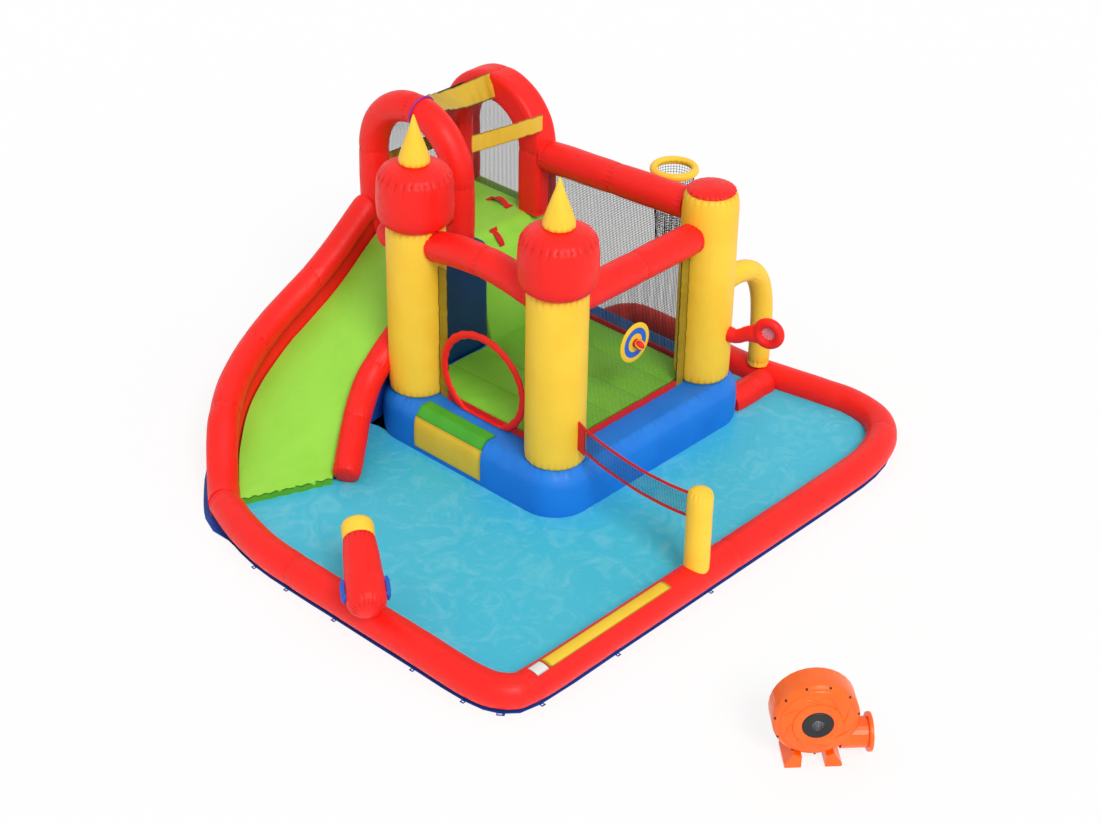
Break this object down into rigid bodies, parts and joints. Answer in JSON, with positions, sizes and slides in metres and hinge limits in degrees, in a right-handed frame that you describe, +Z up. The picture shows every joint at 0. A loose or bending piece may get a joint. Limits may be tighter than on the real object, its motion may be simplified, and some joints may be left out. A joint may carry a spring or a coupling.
{
  "type": "inflatable water slide",
  "caption": "Inflatable water slide with a netted bounce castle, a walled splash pool, a swivelling water cannon, a ball hoop and its separate fan blower.",
  "frame": {"origin": "middle of the footprint of slide, pool and blower, on the ground", "axes": "+Z up, -Y towards the pool's front wall, +X from the slide's foot towards the corner column"},
  "size_m": [4.1754, 5.2438, 2.2909],
  "materials": {
    "red_vinyl": "semi-gloss vinyl-coated cloth",
    "yellow_vinyl": "semi-gloss vinyl-coated cloth",
    "blue_vinyl": "semi-gloss vinyl-coated cloth",
    "dark_blue_vinyl": "semi-gloss vinyl-coated cloth",
    "green_vinyl": "semi-gloss vinyl-coated cloth",
    "floor_green_vinyl": "semi-gloss vinyl-coated cloth",
    "net_mesh": "fine black mesh",
    "red_webbing": "woven webbing",
    "purple_hose": "matte flexible hose",
    "pink_web": "matte cloth",
    "mustard_band": "creased cloth",
    "target_face": "hook-and-loop cloth",
    "orange_plastic": "moulded",
    "black_plastic": "moulded",
    "red_plastic": "moulded",
    "zinc_steel": "zinc plated"
  },
  "bodies": {
    "castle_slide_and_blower": {"back_beam": "red_vinyl", "back_net": "net_mesh", "basket_hoop": "yellow_vinyl", "basket_net": "net_mesh", "blower_front_shell": "orange_plastic", "blower_rear_shell": "orange_plastic", "bounce_base": "blue_vinyl", "bounce_floor": "floor_green_vinyl", "cannon_neck": "red_vinyl", "climb_arch": "red_vinyl", "climb_arch_net": "net_mesh", "climb_ramp": "green_vinyl", "column_lid": "red_vinyl", "corner_column": "yellow_vinyl", "crown_band": "mustard_band", "divider_wall": "red_vinyl", "doorway_ring": "red_webbing", "entry_beam": "red_vinyl", "entry_cap": "red_vinyl", "entry_flap": "yellow_vinyl", "entry_net": "net_mesh", "entry_spire": "yellow_vinyl", "entry_tower": "yellow_vinyl", "far_guard_band": "mustard_band", "front_beam": "red_vinyl", "front_cap": "red_vinyl", "front_flap": "yellow_vinyl", "front_net": "net_mesh", "front_spire": "yellow_vinyl", "front_tower": "yellow_vinyl", "ground_sheet": "blue_vinyl", "hose_tie": "purple_hose", "intake_grille": "black_plastic", "motor_housing": "black_plastic", "near_guard_band": "mustard_band", "outlet_duct": "orange_plastic", "outlet_grille": "black_plastic", "platform_block": "dark_blue_vinyl", "platform_mat": "green_vinyl", "pool_wall": "red_vinyl", "side_arch": "yellow_vinyl", "side_cushion": "dark_blue_vinyl", "side_net": "net_mesh", "slide_arch": "red_vinyl", "slide_base": "dark_blue_vinyl", "slide_bed": "green_vinyl", "slide_inner_rail": "red_vinyl", "slide_outer_wall": "red_vinyl", "target_ball": "red_webbing", "target_disc": "target_face", "toss_ring": "red_vinyl", "toss_web": "pink_web", "tower_link": "red_vinyl", "volley_net": "net_mesh", "volley_post": "yellow_vinyl"},
    "water_cannon": {"cannon_barrel": "red_vinyl", "cannon_nozzle": "yellow_vinyl"},
    "fan": {"impeller": "black_plastic", "motor_shaft": "zinc_steel"},
    "switch_rocker": {"switch_rocker": "red_plastic"}
  },
  "joints": [
    {"name": "cannon_swivel", "type": "hinge", "parent": "castle_slide_and_blower", "child": "water_cannon", "pos_m": [-1.87199, 0.20191, 0.1983], "axis": [0, 0, 1], "range_deg": [-20, 20]},
    {"name": "fan_spin", "type": "hinge", "parent": "castle_slide_and_blower", "child": "fan", "pos_m": [-0.96199, -2.32809, 0.3], "axis": [0.682, 0.7314, 0], "continuous": true},
    {"name": "switch_rock", "type": "hinge", "parent": "castle_slide_and_blower", "child": "switch_rocker", "pos_m": [-0.80738, -2.16229, 0.3], "axis": [0, 0, 1], "range_deg": [-16, 0]}
  ]
}
